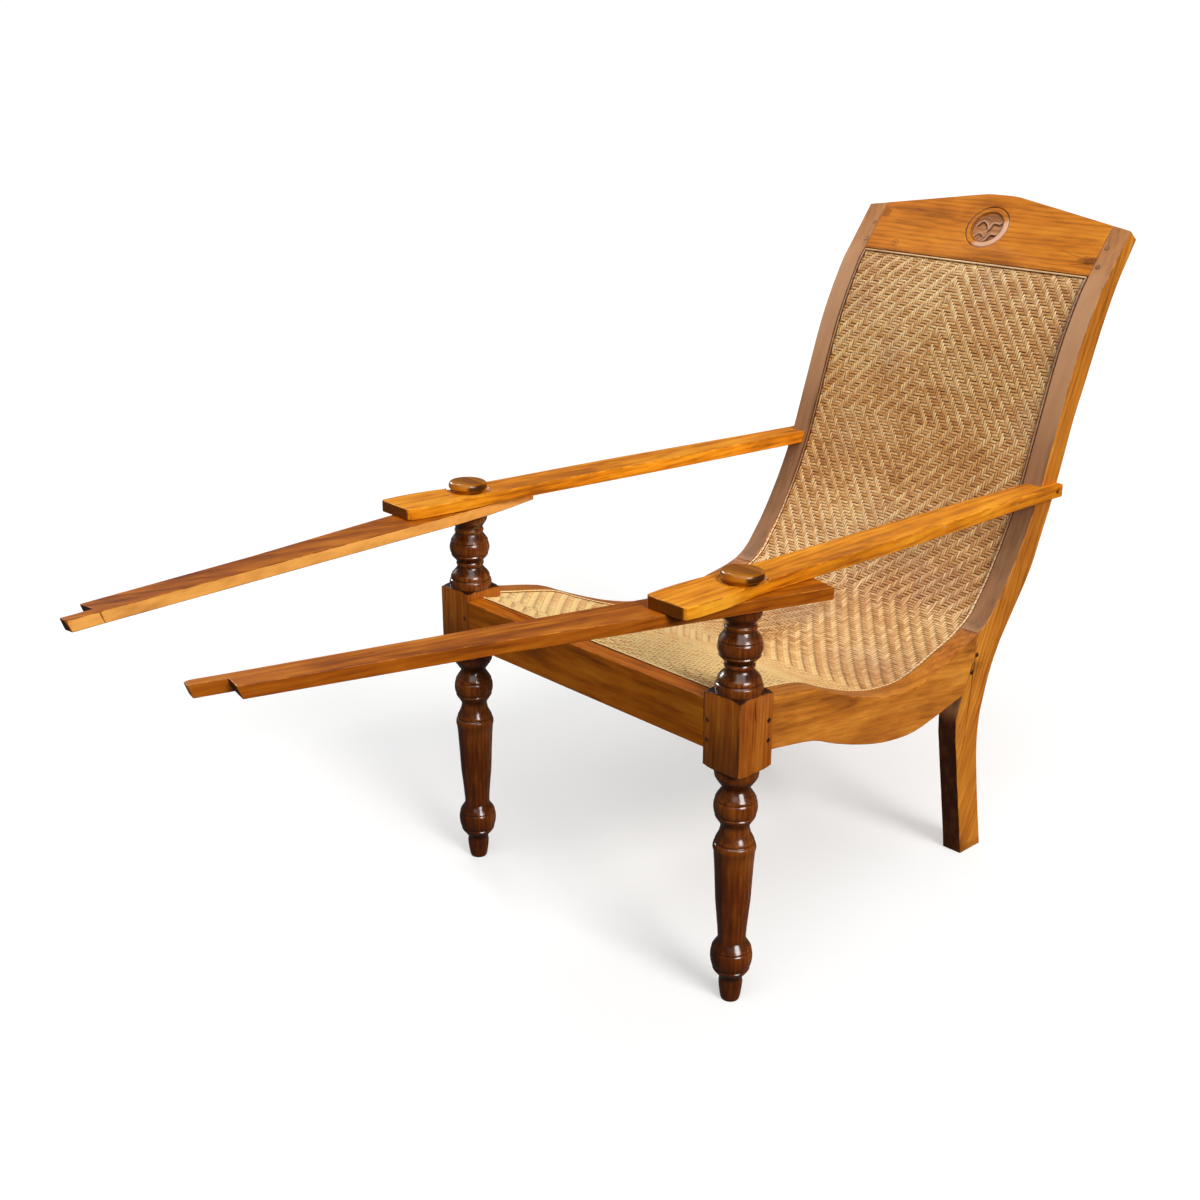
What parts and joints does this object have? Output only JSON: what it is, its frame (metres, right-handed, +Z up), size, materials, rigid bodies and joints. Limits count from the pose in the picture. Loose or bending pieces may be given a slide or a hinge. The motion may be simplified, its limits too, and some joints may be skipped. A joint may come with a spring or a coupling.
{
  "type": "planters chair",
  "caption": "Teak planters chair with turned front legs, a woven cane seat and back in one curve, a gabled crest rail with a carved roundel and leg rests that swing out from under the arms",
  "frame": {"origin": "middle of the bounding box on the floor", "axes": "+Z up, +Y to the back of the chair, +X to the sitter's left"},
  "size_m": [0.672, 1.658, 1.0061],
  "materials": {
    "oiled_teak": "satin",
    "arm_teak": "satin",
    "rail_teak": "satin",
    "dark_teak": "polished",
    "peg_teak": "satin",
    "cane": "satin",
    "binding_cane": "satin"
  },
  "bodies": {
    "chair_frame": {"front_leg_left": "dark_teak", "front_leg_right": "dark_teak", "front_rail": "rail_teak", "side_rail_left": "rail_teak", "side_rail_right": "rail_teak", "back_post_left": "oiled_teak", "back_post_right": "oiled_teak", "crest_rail": "oiled_teak", "seat_stretcher": "rail_teak", "cane_sling": "cane", "cane_batten_left": "rail_teak", "cane_batten_right": "rail_teak", "cane_batten_front": "rail_teak", "cane_batten_top": "rail_teak", "cane_binding_left": "binding_cane", "cane_binding_right": "binding_cane", "cane_binding_front": "binding_cane", "cane_binding_top": "binding_cane", "arm_left": "arm_teak", "arm_right": "arm_teak", "arm_cap_left": "dark_teak", "arm_cap_right": "dark_teak", "front_rail_peg_lower_left": "peg_teak", "front_rail_peg_lower_right": "peg_teak", "front_rail_peg_upper_left": "peg_teak", "front_rail_peg_upper_right": "peg_teak", "side_rail_peg_lower_left": "peg_teak", "side_rail_peg_lower_right": "peg_teak", "side_rail_peg_upper_left": "peg_teak", "side_rail_peg_upper_right": "peg_teak", "post_peg_lower_left": "peg_teak", "post_peg_lower_right": "peg_teak", "post_peg_upper_left": "peg_teak", "post_peg_upper_right": "peg_teak", "crest_peg_lower_left": "peg_teak", "crest_peg_lower_right": "peg_teak", "crest_peg_upper_left": "peg_teak", "crest_peg_upper_right": "peg_teak", "arm_peg_left": "peg_teak", "arm_peg_right": "peg_teak"},
    "leg_rest_left_body": {"leg_rest_left": "oiled_teak"},
    "leg_rest_right_body": {"leg_rest_right": "oiled_teak"}
  },
  "joints": [
    {"name": "leg_rest_left_swing", "type": "hinge", "parent": "chair_frame", "child": "leg_rest_left_body", "pos_m": [0.27651, -0.12164, 0.585], "axis": [0, 0.037, 0.9993], "range_deg": [-5, 194]},
    {"name": "leg_rest_right_swing", "type": "hinge", "parent": "chair_frame", "child": "leg_rest_right_body", "pos_m": [-0.28349, -0.12164, 0.585], "axis": [0, 0.037, 0.9993], "range_deg": [-190, 8.5]}
  ]
}
